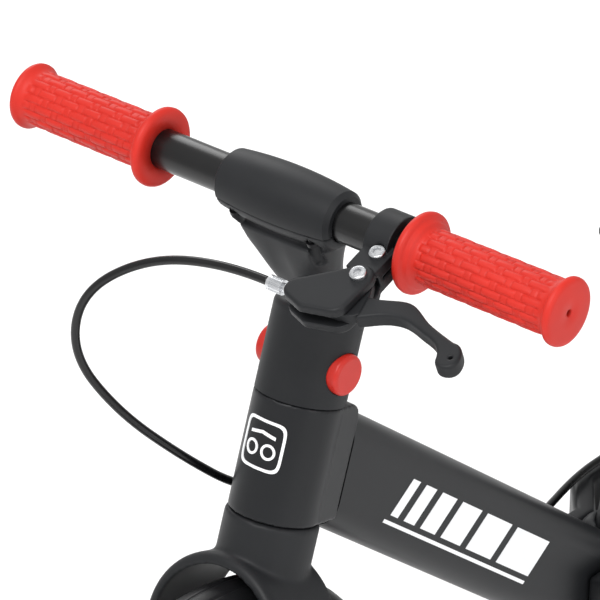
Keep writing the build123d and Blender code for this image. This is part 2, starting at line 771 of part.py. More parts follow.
def rear_stay(side):
    plan = extrude(Pos(0, 0, YOKE_Z - STAY_H / 2) * stay_outline(), STAY_H)
    bends = plan.edges().filter_by(Axis.Z).sort_by(Axis.Y)[3:-2]
    plan = fillet(bends, 9.0)
    rims = plan.faces().sort_by(Axis.Z)
    plan = fillet(rims[0].edges() + rims[-1].edges(), 4.0)
    foot = across(REAR_AXLE.Y, REAR_AXLE.Z, STAY_GAP, STAY_GAP + STAY_T, STAY_H / 2 + 2.0)
    solid = plan + foot
    solid -= across(REAR_AXLE.Y, REAR_AXLE.Z, STAY_GAP - 1, STAY_GAP + STAY_T + 1, AXLE_R + FIT)
    for y, z in stay_bolt_places():
        solid -= across(y, z, 0, 2 * STAY_GAP, STAY_BOLT_R + FIT)
    if side < 0:
        solid = mirror(solid, about=Plane.YZ)
    return solid


def stay_bolts():
    """Two bolts through the stays and knee, with domed heads on both ends."""
    bolts = []
    face = KNEE_HALF_W + FIT + STAY_T
    for y, z in stay_bolt_places():
        bolt = across(y, z, -face - 1.0, face + 1.0, STAY_BOLT_R)
        for side in (-1, 1):
            head = across(y, z, side * (face + 0.1), side * (face + 4.6), 7.0)
            head = fillet(head.edges().sort_by(Axis.X)[-1 if side > 0 else 0], 2.0)
            bolt += head
        bolts.append(bolt)
    return Compound(children=bolts)


# ---- seat clamp, post and saddle ----
def seat_frame(height):
    """Across the seat tube: x to the rider's left, y to the back, z up the tube."""
    return Plane(origin=on_seat_line(height), x_dir=(1, 0, 0), z_dir=SEAT_DIR)


def on_seat_tube(shape):
    return seat_frame(SEAT_TUBE_TOP).location * shape


def clamp_back():
    return SEAT_TUBE_R + SEAT_CLAMP_WALL + EAR_BACK / 2 - 1.0


def seat_clamp():
    """A split ring with two ears behind the tube and a lip over its end."""
    outer_r = SEAT_TUBE_R + SEAT_CLAMP_WALL
    ring = Pos(0, 0, -CLAMP_H / 2 + 2.0) * Cylinder(outer_r, CLAMP_H)
    ring = fillet(ring.edges().filter_by(GeomType.CIRCLE), 1.5)
    ears = Pos(0, SEAT_TUBE_R + EAR_BACK / 2 + 2.0, -CLAMP_H / 2 + 2.0) * Box(
        2 * EAR_HALF, EAR_BACK + 4.0, CLAMP_H - 4.0)
    ears = fillet(ears.edges().filter_by(Axis.X), 3.0)
    body = ring + ears
    body -= Pos(0, 0, -CLAMP_H) * Cylinder(SEAT_TUBE_R + FIT, 2 * CLAMP_H + 0.2)
    body -= Cylinder(SEAT_POST_R + RUN, 20.0)
    body -= Pos(0, 30.0, 0) * Box(CLAMP_SLIT, 60.0 - 2 * SEAT_POST_R, 60)
    body -= across(clamp_back(), -CLAMP_H / 2 + 2.0, -40, 40, SKEWER_R + FIT)
    return on_seat_tube(body)


def cam_x():
    return EAR_HALF + 1.4 + CAM_R


def clamp_skewer():
    """The skewer: a rod with a domed nut on the right and an eye inside the cam on the left."""
    y, z = clamp_back(), -CLAMP_H / 2 + 2.0
    bar = across(y, z, -EAR_HALF - 3.0, cam_x() - 2.6, SKEWER_R)
    nut = across(y, z, -EAR_HALF - 7.0, -EAR_HALF - 0.1, 6.0)
    nut = fillet(nut.edges().sort_by(Axis.X)[:1], 2.0)
    washer = across(y, z, EAR_HALF + 0.1, EAR_HALF + 1.1, 6.0) - across(y, z, 0, 40, SKEWER_R + FIT)
    return on_seat_tube(Compound(children=[bar + nut, washer]))


def clamp_lever():
    """A cam barrel with a curved handle that lies along the tube when closed."""
    y, z = clamp_back(), -CLAMP_H / 2 + 2.0
    barrel = Pos(cam_x(), y, z) * Cylinder(CAM_R, 12.0)
    side = cam_x() + CAM_R - 4.0
    inner = SEAT_TUBE_R + SEAT_CLAMP_WALL + 1.0
    path = [(side, y), (inner, y - 12.0), (inner, y - QR_LEN), (inner + 4.0, y - QR_LEN),
            (inner + 4.0, y - 10.0), (cam_x() + CAM_R, y + 1.0), (side, y)]
    arm = extrude(make_face(Polyline(path)), 4.5, both=True)
    arm = fillet(arm.edges().filter_by(Axis.Z).sort_by(Axis.Y)[:2], 1.9)
    body = barrel + Pos(0, 0, z) * arm
    for turn in range(0, QR_SWING + 1, 15):
        slot = across(0, 0, -2.2, -cam_x(), SKEWER_R + RUN)
        body -= Pos(cam_x(), y, z) * Rot(0, 0, -turn) * slot
    return on_seat_tube(body)


def seat_post():
    low = on_seat_line(SEAT_TUBE_TOP) - SEAT_DIR * SEAT_POST_INSERT
    return pipe(xyz(low), xyz(on_seat_line(SEAT_POST_TOP)), SEAT_POST_R, SEAT_POST_R - SEAT_POST_WALL)


def saddle_base_z():
    return SEAT_POST_TOP + 6.0


def saddle_bracket():
    """A socket on the post, under a flat platform that carries the saddle."""
    top = on_seat_line(SEAT_POST_TOP + 4.0)
    low = on_seat_line(SEAT_POST_TOP + 4.0 - SADDLE_BRACKET_H)
    socket = rod(xyz(low), xyz(top), SADDLE_BRACKET_R)
    z = saddle_base_z() - PLATFORM_T / 2
    platform = Pos(0, top.Y, z) * Box(PLATFORM_W, PLATFORM_L, PLATFORM_T)
    platform = fillet(platform.edges().filter_by(Axis.Z), 8.0)
    above = Pos(0, top.Y, saddle_base_z() + 50.0) * Box(200, 200, 100)
    body = socket + platform - above
    body -= rod(xyz(low - SEAT_DIR), xyz(on_seat_line(SEAT_POST_TOP + 0.1)), SEAT_POST_R + FIT)
    for x, y in saddle_bolt_places():
        body -= Pos(x, y, z) * Cylinder(2.5 + FIT, 20)
    return body


def saddle_bolt_places():
    middle = on_seat_line(SEAT_POST_TOP + 4.0).Y
    reach = PLATFORM_L / 2 - 8.0
    return [(x, middle + y) for x in (-14.0, 14.0) for y in (-reach, reach)]


def saddle_bolts():
    bolts = []
    under = saddle_base_z() - PLATFORM_T
    for x, y in saddle_bolt_places():
        head = Pos(x, y, under - 1.6) * Cylinder(4.4, 3.0)
        shaft = Pos(x, y, under + 5.0) * Cylinder(2.5, 10.2)
        bolts.append(head + shaft)
    return Compound(children=bolts)


def saddle_plan(inset):
    tail = SADDLE_TAIL_Y - TAIL_R
    return hull([(0, SADDLE_NOSE_Y + NOSE_R, NOSE_R - inset), (TAIL_X, tail, TAIL_R - inset),
                 (-TAIL_X, tail, TAIL_R - inset)])


def saddle_shell():
    base = saddle_base_z() + SEAM / 4
    body = extrude(Pos(0, 0, base) * saddle_plan(3.0), SHELL_H)
    body = fillet(body.faces().sort_by(Axis.Z)[0].edges(), 3.0)
    for x, y in saddle_bolt_places():
        body -= Pos(x, y, base) * Cylinder(2.5 + FIT, 16.0)
    return body


def saddle_pad():
    base = saddle_base_z() + SHELL_H + SEAM / 2
    body = extrude(Pos(0, 0, base) * saddle_plan(0.0), PAD_H)
    body = fillet(body.faces().sort_by(Axis.Z)[-1].edges(), PAD_ROUND)
    return fillet(body.faces().sort_by(Axis.Z)[0].edges(), 2.0)


# ---- rear brake ----
def at_rear(shape):
    return Pos(*xyz(REAR_AXLE)) * shape


def brake_drum():
    """A cup on the hub's right end."""
    inner = -DRUM_IN
    outer = -(DRUM_IN + DRUM_W)
    cup = across(0, 0, inner, outer, DRUM_R)
    cup -= across(0, 0, inner - 3.0, outer - 1, DRUM_R - DRUM_WALL)
    cup -= across(0, 0, inner + 1, outer, BEARING_R + 0.3)
    return at_rear(cup)


def plate_x():
    return -(DRUM_IN + DRUM_W + 1.0)


def brake_plate():
    """The fixed backing plate, with the shoe pin and a tab against the right stay."""
    x = plate_x()
    disc = across(0, 0, x, x - PLATE_T, PLATE_R)
    pin = across(-CAM_AT, 0, x, -(DRUM_IN + 4.5), 3.4)
    pin = Rot(90, 0, 0) * pin
    tab_w = STAY_GAP - FIT + x
    tab = Pos(x - tab_w / 2, -PLATE_R + 6.0, 0) * Box(tab_w, 10.0, 10.0)
    body = disc + pin + tab
    body -= across(0, 0, 0, -60, AXLE_R + 2.6 + FIT)
    body -= across(0, CAM_AT, 0, -60, CAM_SHAFT_R + FIT)
    return at_rear(body)


def brake_shoes():
    """Two lined half rings inside the drum, with gaps for the cam and the pin."""
    outer = DRUM_R - DRUM_WALL - 0.5
    x0, x1 = -(DRUM_IN + 4.5), -(DRUM_IN + DRUM_W - 0.5)
    ring = across(0, 0, x0, x1, outer) - across(0, 0, x0 + 1, x1 - 1, outer - SHOE_T - 3.0)
    ring -= Pos((x0 + x1) / 2, 0, 0) * Box(20, 14.0, 2 * DRUM_R + 2)
    return at_rear(Compound(children=list(ring.solids())))


def brake_cam():
    """The cam between the shoes' upper ends, and its shaft through the plate."""
    x = plate_x()
    shaft = across(0, CAM_AT, x + 1.0, -(STAY_GAP - 0.6), CAM_SHAFT_R)
    cam = Pos(-(DRUM_IN + 8.0), 0, CAM_AT) * Box(7.0, 5.0, 8.0)
    link = across(0, CAM_AT, -(DRUM_IN + 8.0), x + 1.0, 2.4)
    return at_rear(shaft + cam + link)


def arm_x():
    return -(STAY_GAP - 1.0)


def brake_arm():
    """The arm on the cam shaft; the inner wire pulls its upper end forward."""
    side = Plane(origin=(arm_x(), 0, 0), x_dir=(0, 1, 0), z_dir=(1, 0, 0))
    plan = hull([(0, CAM_AT, 7.0), (0, CAM_AT + ARM_LEN, 5.0)])
    body = extrude(side * plan, ARM_T)
    body -= across(0, CAM_AT, 0, -60, CAM_SHAFT_R + FIT)
    body -= across(0, CAM_AT + ARM_LEN, 0, -60, ANCHOR_R + FIT)
    return at_rear(body)


def wire_anchor():
    """The pinch bolt on the arm's end."""
    z = CAM_AT + ARM_LEN
    x = arm_x()
    bolt = across(0, z, x - 6.0, x + ARM_T + 2.0, ANCHOR_R)
    head = across(0, z, x - 6.6, x - 3.2, 5.0)
    washer = across(0, z, x - 0.1, x - 1.0, 5.0)
    nut = across(0, z, x + ARM_T + 0.1, x + ARM_T + 2.4, 4.6)
    return at_rear(bolt + head + washer + nut)


def cam_spring():
    x = plate_x() - PLATE_T
    return at_rear(across(0, CAM_AT, x - 0.1, x - 0.9, 6.0) - across(0, CAM_AT, 0, -60, CAM_SHAFT_R + 0.3))


# ---- cable ----
CABLE_START = STEER.from_local_coords(LEVER.from_local_coords(Vector(ADJUSTER_END, ADJUSTER_OUT, 0)))
STOP_Y = 196.0
CABLE_ROUTE = [
    xyz(CABLE_START),
    (0.0, CABLE_START.Y, CABLE_START.Z),
    (-45.0, -268.0, 490.0),
    (-78.0, -285.0, 465.0),
    (-86.0, -286.0, 424.0),
    (-70.0, -267.0, 385.0),
    (-47.0, -240.0, 353.0),
    (-32.0, -208.0, 324.0),
    (-24.2, -152.0, 300.0),
    (-23.6, -85.0, 248.0),
    (-24.2, -20.0, 194.0),
    (-27.0, 26.0, 174.0),
    (-39.0, 76.0, 170.6),
    (-50.0, 126.0, 171.4),
    (-51.5, 164.0, 170.6),
    (-51.5, STOP_Y, 170.6),
]


def cable_radii(points):
    """For each corner 0.45 of the shorter run, over the tangent of half the turn."""
    radii = []
    for a, b, c in zip(points, points[1:], points[2:]):
        back = Vector(*b) - Vector(*a)
        ahead = Vector(*c) - Vector(*b)
        half_turn = math.radians(back.get_angle(ahead)) / 2
        radii.append(0.45 * min(back.length, ahead.length) / math.tan(half_turn))
    return radii


def cable_line():
    radii = cable_radii(CABLE_ROUTE)
    print("cable radii", [round(r) for r in radii])
    return FilletPolyline(*CABLE_ROUTE, radius=radii)


def brake_cable():
    line = cable_line()
    start = Plane(origin=line @ 0, z_dir=line % 0)
    tube = sweep(start * Circle(CABLE_R), path=line)
    ideal = math.pi * CABLE_R ** 2 * line.length
    print("cable length", round(line.length), "volume share", round(tube.volume / ideal, 4))
    return tube


def along_run(a, b, share):
    """A frame on the straight part of a run: z along it, x to the rider's left."""
    a, b = Vector(*a), Vector(*b)
    return Plane(origin=a + (b - a) * share, x_dir=(1, 0, 0), z_dir=b - a)


def cable_clips():
    """Clips screwed to the beam's right side: a ring round the cable, on a foot."""
    clips = []
    for index in (8, 9):
        plane = along_run(CABLE_ROUTE[index], CABLE_ROUTE[index + 1], 0.5)
        gap = -BEAM_W / 2 - plane.origin.X
        ring = Cylinder(CABLE_R + CLIP_WALL, 8.0)
        foot = Pos(gap / 2, 0, 0) * Box(gap - 2 * FIT, 6.0, 8.0)
        clip = plane.location * (ring + foot)
        hole = rod(CABLE_ROUTE[index], CABLE_ROUTE[index + 1], CABLE_R + FIT)
        keep = Pos(-BEAM_W / 2 - FIT - 50.0, 0, 200) * Box(100, 1000, 1000)
        clips.append((clip - hole) & keep)
    return Compound(children=clips)


def cable_stop():
    """The housing stop, on the right stay's top."""
    x, y, z = CABLE_ROUTE[-1]
    top = YOKE_Z + STAY_H / 2
    cup = rod((x, y - 8.0, z), (x, y + 5.0, z), CABLE_R + 2.4)
    foot = Pos(x, y - 1.5, (z + top) / 2) * Box(2 * CABLE_R, 13.0, z - top)
    body = cup + foot
    above = Pos(x, y, top + FIT + 50.0) * Box(100, 100, 100)
    body = body & above
    body -= rod((x, y - 20, z), (x, y + 0.1, z), CABLE_R + FIT)
    body -= rod((x, y, z), (x, y + 20, z), WIRE_R + 0.4)
    return body


def brake_wire():
    """The bare inner wire between the stop and the arm's pinch bolt."""
    x, y, z = CABLE_ROUTE[-1]
    anchor = REAR_AXLE + Vector(arm_x() - 2.1, -ANCHOR_R - WIRE_R - RUN, CAM_AT + ARM_LEN)
    return rod((x, y + 5.5, z), xyz(anchor), WIRE_R)


# ---- everything, by node ----
def axle_face_front():
    return ARCH_INNER_R + LEG_WALL


def axle_face_rear():
    return STAY_GAP + STAY_T


NODES = {
    "head_casting": head_casting() + beam_spigot(),
    "head_badge": head_badge(),
    "head_bush_upper": head_bush(-SEAM / 2, -1),
    "head_bush_lower": head_bush(-HEAD_LEN - SEAM / 2, 1),
    "beam": beam(),
    "frame_knee": frame_knee(),
    "seat_tube": seat_tube(),
    "rear_stay_left": rear_stay(1),
    "rear_stay_right": rear_stay(-1),
    "stay_bolts": stay_bolts(),
    "seat_clamp": seat_clamp(),
    "clamp_skewer": clamp_skewer(),
    "clamp_lever": clamp_lever(),
    "seat_post": seat_post(),
    "saddle_bracket": saddle_bracket(),
    "saddle_bolts": saddle_bolts(),
    "saddle_shell": saddle_shell(),
    "saddle_pad": saddle_pad(),
    "steerer_tube": steerer(),
    "fork_crown": fork_crown(),
    "fork_legs": fork_leg(),
    "stem_collar": stem_collar(),
    "button_left": button(1),
    "button_right": button(-1),
    "button_springs": button_springs(),
    "stem_neck": stem_neck(),
    "stem_cap": stem_cap(),
    "stem_screws": stem_screws(),
    "handlebar": handlebar(),
    "grip_left": grip(1),
    "grip_right": grip(-1),
    "lever_bracket": lever_bracket(),
    "lever_screws": Compound(children=[
        lever_screw(CLAMP_SCREW, 2.5, EAR_HALF_T),
        lever_screw(LEVER_PIVOT, PIVOT_R, BRACKET_HALF_T)]),
    "lever_spring": lever_spring(),
    "brake_lever": brake_lever(),
    "cable_nipple": cable_nipple(),
    "barrel_adjuster": barrel_adjuster(),
    "brake_cable": brake_cable(),
    "cable_clips": cable_clips(),
    "cable_stop": cable_stop(),
    "brake_wire": brake_wire(),
    "brake_plate": brake_plate(),
    "brake_shoes": brake_shoes(),
    "brake_cam": brake_cam(),
    "brake_arm": brake_arm(),
    "wire_anchor": wire_anchor(),
    "cam_spring": cam_spring(),
    "brake_drum": brake_drum(),
}

for end, centre, inner, face in (
        ("front", FRONT_AXLE, ARCH_INNER_R, axle_face_front()),
        ("rear", REAR_AXLE, STAY_GAP, axle_face_rear())):
    NODES[f"{end}_tyre"] = tyre(centre)
    NODES[f"{end}_wheel"] = wheel_disc(centre)
    NODES[f"{end}_bearings"] = bearings(centre)
    NODES[f"{end}_axle"] = axle(centre, face)
    NODES[f"{end}_spacers"] = Compound(children=[hub_spacer(centre), *end_spacers(centre, inner).solids()])
    NODES[f"{end}_nuts"] = Compound(children=[*washers(centre, face).solids(), *nuts(centre, face).solids()])

for name, shape in NODES.items():
    save(name, shape)
print(len(NODES), "nodes")
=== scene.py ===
import bpy
import bmesh
import json
import math
import numpy as np
from mathutils import Matrix, Vector


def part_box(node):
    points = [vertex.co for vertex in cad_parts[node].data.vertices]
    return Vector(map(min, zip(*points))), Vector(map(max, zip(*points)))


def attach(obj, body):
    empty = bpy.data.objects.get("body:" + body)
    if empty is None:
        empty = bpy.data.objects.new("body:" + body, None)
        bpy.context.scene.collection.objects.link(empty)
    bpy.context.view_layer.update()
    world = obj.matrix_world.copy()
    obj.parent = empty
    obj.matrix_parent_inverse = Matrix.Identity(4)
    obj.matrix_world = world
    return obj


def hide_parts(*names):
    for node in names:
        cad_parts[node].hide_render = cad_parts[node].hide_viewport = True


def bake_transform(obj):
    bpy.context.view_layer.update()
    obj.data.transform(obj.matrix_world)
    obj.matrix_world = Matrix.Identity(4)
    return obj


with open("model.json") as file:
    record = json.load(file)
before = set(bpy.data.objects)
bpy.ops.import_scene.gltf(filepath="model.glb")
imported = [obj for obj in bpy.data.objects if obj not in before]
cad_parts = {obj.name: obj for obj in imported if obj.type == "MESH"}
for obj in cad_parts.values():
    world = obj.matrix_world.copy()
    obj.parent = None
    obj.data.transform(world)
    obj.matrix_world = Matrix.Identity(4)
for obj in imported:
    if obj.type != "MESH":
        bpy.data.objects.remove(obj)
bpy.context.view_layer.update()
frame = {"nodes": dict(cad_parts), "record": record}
NODES = frame["nodes"]

# ---- dimensions, metres and degrees ----
LEAN = math.radians(19.0)
AXIS = np.array([0.0, math.sin(LEAN), math.cos(LEAN)])
BACK = np.array([0.0, math.cos(LEAN), -math.sin(LEAN)])
LEFT = np.array([1.0, 0.0, 0.0])
FRONT_AXLE = np.array([0.0, -0.28, 0.15])
REAR_AXLE = np.array([0.0, 0.28, 0.15])
HEAD_TOP = FRONT_AXLE + AXIS * 0.256
HEAD_R = 0.0257
BADGE_Z = -0.0264
BADGE_FILM = (-0.0004, 0.0005)
BEAM_FILM = (0.00005, 0.00025)
BEAM_HALF_W = 0.0195
GRIP_BODY_R = 0.0153
RIM_BED_R = 0.1232
BAR = HEAD_TOP + BACK * -0.0504 + AXIS * 0.1142
GRIP_START = 0.0885
GRIP_END = 0.188
TYRE_R = 0.15
TYRE_HALF_W = 0.023
CABLE_R = 0.0025
FALL = math.radians(38.75)
BEAM_DIR = np.array([0.0, math.cos(FALL), -math.sin(FALL)])
BEAM_START = HEAD_TOP + BACK * 0.032 + AXIS * -0.0422
BEAM_UP = np.array([0.0, math.sin(FALL), math.cos(FALL)])


# ---- colour and shader helpers ----
def linear(code):
    """sRGB hex to linear RGBA: ((c + 0.055) / 1.055) ** 2.4."""
    parts = [int(code[i:i + 2], 16) / 255 for i in (1, 3, 5)]
    return tuple(c / 12.92 if c <= 0.04045 else ((c + 0.055) / 1.055) ** 2.4 for c in parts) + (1.0,)


def add(tree, kind, settings=None, **values):
    """Adds a shader node; a value is a number, a colour or another node's output."""
    node = tree.nodes.new("ShaderNode" + kind)
    for key, value in (settings or {}).items():
        setattr(node, key, value)
    for key, value in values.items():
        name = key.replace("_", " ")
        socket = node.inputs[int(name[1:])] if name[0] == "n" and name[1:].isdigit() else node.inputs[name]
        if isinstance(value, bpy.types.NodeSocket):
            tree.links.new(value, socket)
        else:
            socket.default_value = value
    return node


def in_mm(tree):
    """Object coordinates in millimetres, so that a texture's scale is in features per millimetre."""
    place = add(tree, "TexCoord")
    scaled = add(tree, "VectorMath", {"operation": "SCALE"}, Vector=place.outputs["Object"], Scale=1000.0)
    return scaled.outputs[0]


def noise(tree, where, size_mm, detail=3.0):
    return add(tree, "TexNoise", Vector=where, Scale=1.0 / size_mm, Detail=detail).outputs["Fac"]


def spread(tree, value, low, high):
    return add(tree, "MapRange", Value=value, From_Min=0.3, From_Max=0.7, To_Min=low, To_Max=high).outputs[0]


def surface(name, light, dark, rough, grain_mm, grain_depth, mottle_mm=25.0, rough_span=0.06, metallic=0.0,
            coat=0.0, specular=0.5, sheen=0.0):
    """One finish: two close colours mottled, roughness that varies with them, and a fine grain."""
    mat = bpy.data.materials.new(name)
    mat.use_nodes = True
    tree = mat.node_tree
    shader = tree.nodes["Principled BSDF"]
    where = in_mm(tree)
    patches = noise(tree, where, mottle_mm)
    share = spread(tree, patches, 0.0, 1.0)
    mix = add(tree, "Mix", {"data_type": "RGBA"}, n0=share, n6=linear(dark), n7=linear(light))
    tree.links.new(mix.outputs[2], shader.inputs["Base Color"])
    tree.links.new(spread(tree, patches, rough - rough_span, rough + rough_span), shader.inputs["Roughness"])
    grain = noise(tree, where, grain_mm, 2.0)
    bump = add(tree, "Bump", Strength=1.0, Distance=grain_depth / 1000, Height=grain)
    tree.links.new(bump.outputs[0], shader.inputs["Normal"])
    shader.inputs["Metallic"].default_value = metallic
    shader.inputs["Coat Weight"].default_value = coat
    shader.inputs["Coat Roughness"].default_value = 0.15
    shader.inputs["Specular IOR Level"].default_value = specular
    shader.inputs["Sheen Weight"].default_value = sheen
    return mat


# Satin black powder coat on the frame castings and beam
paint_black = surface("powder_coat_black", "#1d1e20", "#191a1c", 0.4, 0.7, 0.012, 60.0, 0.03, specular=0.24)
# Fine-grained black polypropylene of the collar, stem, lever and crown
plastic_black = surface("moulded_plastic_black", "#1f2022", "#1a1b1d", 0.5,
                        0.45, 0.02, 30.0, 0.04, specular=0.24)
# Semi-gloss black stove enamel on the bar
bar_black = surface("enamel_black", "#0a0a0b", "#070708", 0.3, 3.0, 0.004, 40.0, 0.03, coat=0.1, specular=0.4)
# Matte red thermoplastic rubber
rubber_red = surface("rubber_red", "#c4271b", "#b92318", 0.5, 0.5, 0.02, 30.0, 0.05, specular=0.3)
# Smooth red moulded buttons
plastic_red = surface("moulded_plastic_red", "#c22a20", "#b8261d", 0.4, 1.5, 0.006, 20.0, 0.03, specular=0.35)
# Dark foam rubber of the airless tyres
tyre_rubber = surface("tyre_rubber", "#151517", "#111113", 0.45, 0.9, 0.03, 25.0, 0.06, specular=0.3)
# Glass-filled nylon of the wheels
wheel_plastic = surface("wheel_nylon_black", "#1b1c1e", "#161719", 0.45, 0.6, 0.02, 40.0, 0.04, specular=0.28)
# Bright zinc plate on screws, axles and brake parts
zinc_steel = surface("zinc_plate", "#d3d4d6", "#bfc1c4", 0.26, 0.5, 0.004, 8.0, 0.08, metallic=1.0)
# Black oxide on the stem's screws
black_steel = surface("black_oxide_steel", "#1c1c1e", "#161618", 0.4,
                      0.8, 0.006, 8.0, 0.05, metallic=0.6, specular=0.3)
# Machined aluminium alloy of the adjuster and seat clamp
alloy = surface("aluminium_alloy", "#dfe0e2", "#cfd1d4", 0.3, 0.4, 0.004, 10.0, 0.05, metallic=1.0)
# Natural nylon of the head bushes
nylon_white = surface("natural_nylon", "#e6e3da", "#dedbd1", 0.45, 0.8, 0.008)
# Extruded PVC jacket of the brake cable
cable_black = surface("pvc_jacket_black", "#0c0c0d", "#08080a", 0.28, 6.0, 0.01, 20.0, 0.04, specular=0.4)
# Synthetic leather of the saddle
saddle_cover = surface("synthetic_leather_black", "#18181a", "#131315", 0.48,
                       1.1, 0.09, 20.0, 0.06, specular=0.3)
# Pressed brake lining
brake_lining = surface("brake_lining", "#6b5d50", "#55493e", 0.8, 0.6, 0.05)
# White screen print
print_white = surface("print_white", "#f2f3f4", "#ebecee", 0.4, 2.0, 0.002)

FINISH = {
    "paint_black": paint_black, "plastic_black": plastic_black, "bar_black": bar_black,
    "rubber_red": rubber_red, "plastic_red": plastic_red, "tyre_rubber": tyre_rubber,
    "wheel_plastic": wheel_plastic, "zinc_steel": zinc_steel, "black_steel": black_steel,
    "alloy": alloy, "nylon_white": nylon_white, "cable_black": cable_black,
    "saddle_cover": saddle_cover, "badge_white": print_white, "brake_lining": brake_lining,
}
SLOT_OF = {row["node"]: row["material_slot"] for row in frame["record"]["subparts"]}


def paint(obj, mat):
    obj.data.materials.clear()
    obj.data.materials.append(mat)


for node_name, node_obj in NODES.items():
    paint(node_obj, FINISH[SLOT_OF[node_name]])


# ---- mesh helpers ----
def make(name, points, faces, mat, smooth=True):
    mesh = bpy.data.meshes.new(name)
    mesh.from_pydata([tuple(p) for p in points], [], [tuple(f) for f in faces])
    mesh.validate()
    mesh.update()
    mesh.polygons.foreach_set("use_smooth", [smooth] * len(mesh.polygons))
    obj = bpy.data.objects.new(name, mesh)
    bpy.context.scene.collection.objects.link(obj)
    obj.data.materials.append(mat)
    return obj


def grid_faces(rows, cols, wrap_rows=False, wrap_cols=True):
    """Quads of a rows x cols lattice of points."""
    faces = []
    for i in range(rows if wrap_rows else rows - 1):
        for j in range(cols if wrap_cols else cols - 1):
            a, b = i, (i + 1) % rows
            c, d = j, (j + 1) % cols
            faces.append((a * cols + c, a * cols + d, b * cols + d, b * cols + c))
    return faces


def outward(obj):
    bm = bmesh.new()
    bm.from_mesh(obj.data)
    bmesh.ops.recalc_face_normals(bm, faces=bm.faces)
    bm.to_mesh(obj.data)
    bm.free()


def revolved(name, loop, centre, around, mat, lift=None):
    """Turns a closed loop of (x, r) about a line along X through centre.

    Point (i, j) = centre + x_i X + (r_i + lift(x_i, t_j)) (cos t_j Y + sin t_j Z), t_j = 2 pi j / around.
    """
    turn = 2 * np.pi * np.arange(around) / around
    x = np.array([p[0] for p in loop])[:, None]
    r = np.array([p[1] for p in loop])[:, None] + np.zeros((1, around))
    if lift is not None:
        r = r + lift(np.array(loop), turn)
    points = np.empty((len(loop), around, 3))
    points[:, :, 0] = centre[0] + x
    points[:, :, 1] = centre[1] + r * np.cos(turn)
    points[:, :, 2] = centre[2] + r * np.sin(turn)
    obj = make(name, points.reshape(-1, 3), grid_faces(len(loop), around, wrap_rows=True), mat)
    outward(obj)
    return obj


def ribbon(points_a, points_b, closed, place, low, high):
    """A thin plate between two polylines: place(s, t, h) puts the flat (s, t) at height h."""
    rows = [(points_a, low), (points_a, high), (points_b, high), (points_b, low)]
    cols = len(points_a)
    points = [place(s, t, h) for line, h in rows for s, t in line]
    faces = grid_faces(4, cols, wrap_rows=True, wrap_cols=closed)
    if not closed:
        faces += [tuple(k * cols for k in range(4)), tuple(k * cols + cols - 1 for k in (3, 2, 1, 0))]
    return points, faces


def prints(name, strips, place, low, high, mat):
    """Several thin plates as one piece."""
    points, faces = [], []
    for line_a, line_b, closed in strips:
        new_points, new_faces = ribbon(line_a, line_b, closed, place, low, high)
        start = len(points)
        points += new_points
        faces += [tuple(start + k for k in f) for f in new_faces]
    obj = make(name, points, faces, mat, smooth=False)
    outward(obj)
    return obj


def smooth_step(value, low, high):
    t = np.clip((value - low) / (high - low), 0.0, 1.0)
    return t * t * (3 - 2 * t)


# ---- grips: a woven relief on rubber ----
WEAVE_STRANDS = 20
WEAVE_PITCH = 0.0165
WEAVE_DEPTH = 0.0013
WEAVE_FROM, WEAVE_TO = 0.0985, 0.1800


def weave(loop, turn):
    """Height of a basket weave at (x, t).

    Strand k = floor(20 t / 2 pi) runs along the grip and dips under a cross tie once a pitch; its neighbours
    dip half a pitch later. With u across a strand and v along it, both 0 at its middle and 0.5 at its edge,
    the strand is (1 - (2 u) ** 3) (1 - 2.2 v ** 2), and the tie 0.62 high with three fine ridges.
    """
    x = loop[:, 0][:, None]
    across = WEAVE_STRANDS * turn / (2 * np.pi)
    strand = np.floor(across)
    side = np.abs(across - strand - 0.5)[None, :]
    along = np.mod(x / WEAVE_PITCH + 0.5 * np.mod(strand, 2)[None, :], 1.0)
    near = np.abs(along - 0.5)
    bow = (1 - (2 * side) ** 3) * (1 - 2.2 * near ** 2)
    over = 1 - smooth_step(near, 0.33, 0.37)
    ties = smooth_step(near, 0.37, 0.40) * (0.8 + 0.2 * np.cos((0.5 - near) * 2 * np.pi / 0.055))
    relief = bow * over + 0.62 * ties * (1 - 0.5 * (2 * side) ** 4)
    zone = smooth_step(x, WEAVE_FROM, WEAVE_FROM + 0.002) * (1 - smooth_step(x, WEAVE_TO - 0.002, WEAVE_TO))
    outer = loop[:, 1][:, None] > 0.0135
    return zone * outer * (relief * WEAVE_DEPTH - 0.0008)


def grip_loop():
    """(x, r) of the grip: bore, flange, step, body, flared end, vent."""
    loop = [(GRIP_START, 0.01115), (GRIP_START, 0.0195), (GRIP_START + 0.0004, 0.0212),
            (GRIP_START + 0.0013, 0.0222),
            (GRIP_START + 0.0027, 0.0226), (GRIP_START + 0.0042, 0.0224), (GRIP_START + 0.0050, 0.0217),
            (GRIP_START + 0.0054, 0.0200), (GRIP_START + 0.0060, 0.0190), (GRIP_START + 0.0072, 0.0185),
            (GRIP_START + 0.0080, 0.0178), (GRIP_START + 0.0085, 0.0164), (GRIP_START + 0.0095, 0.0156)]
    for x in np.arange(GRIP_START + 0.0105, 0.1750, 0.0005):
        loop.append((float(x), GRIP_BODY_R))
    for k in range(9):
        t = k / 8
        loop.append((0.1755 + 0.0088 * t, GRIP_BODY_R + 0.0034 * t ** 4))
    loop += [(0.1852, 0.0188), (0.1862, 0.0187), (0.1872, 0.0182), (0.1878, 0.0172), (GRIP_END, 0.0155),
             (GRIP_END, 0.009), (GRIP_END, 0.0026), (GRIP_END - 0.0004, 0.0020), (0.1832, 0.0019),
             (0.1832, 0.01115)]
    return loop


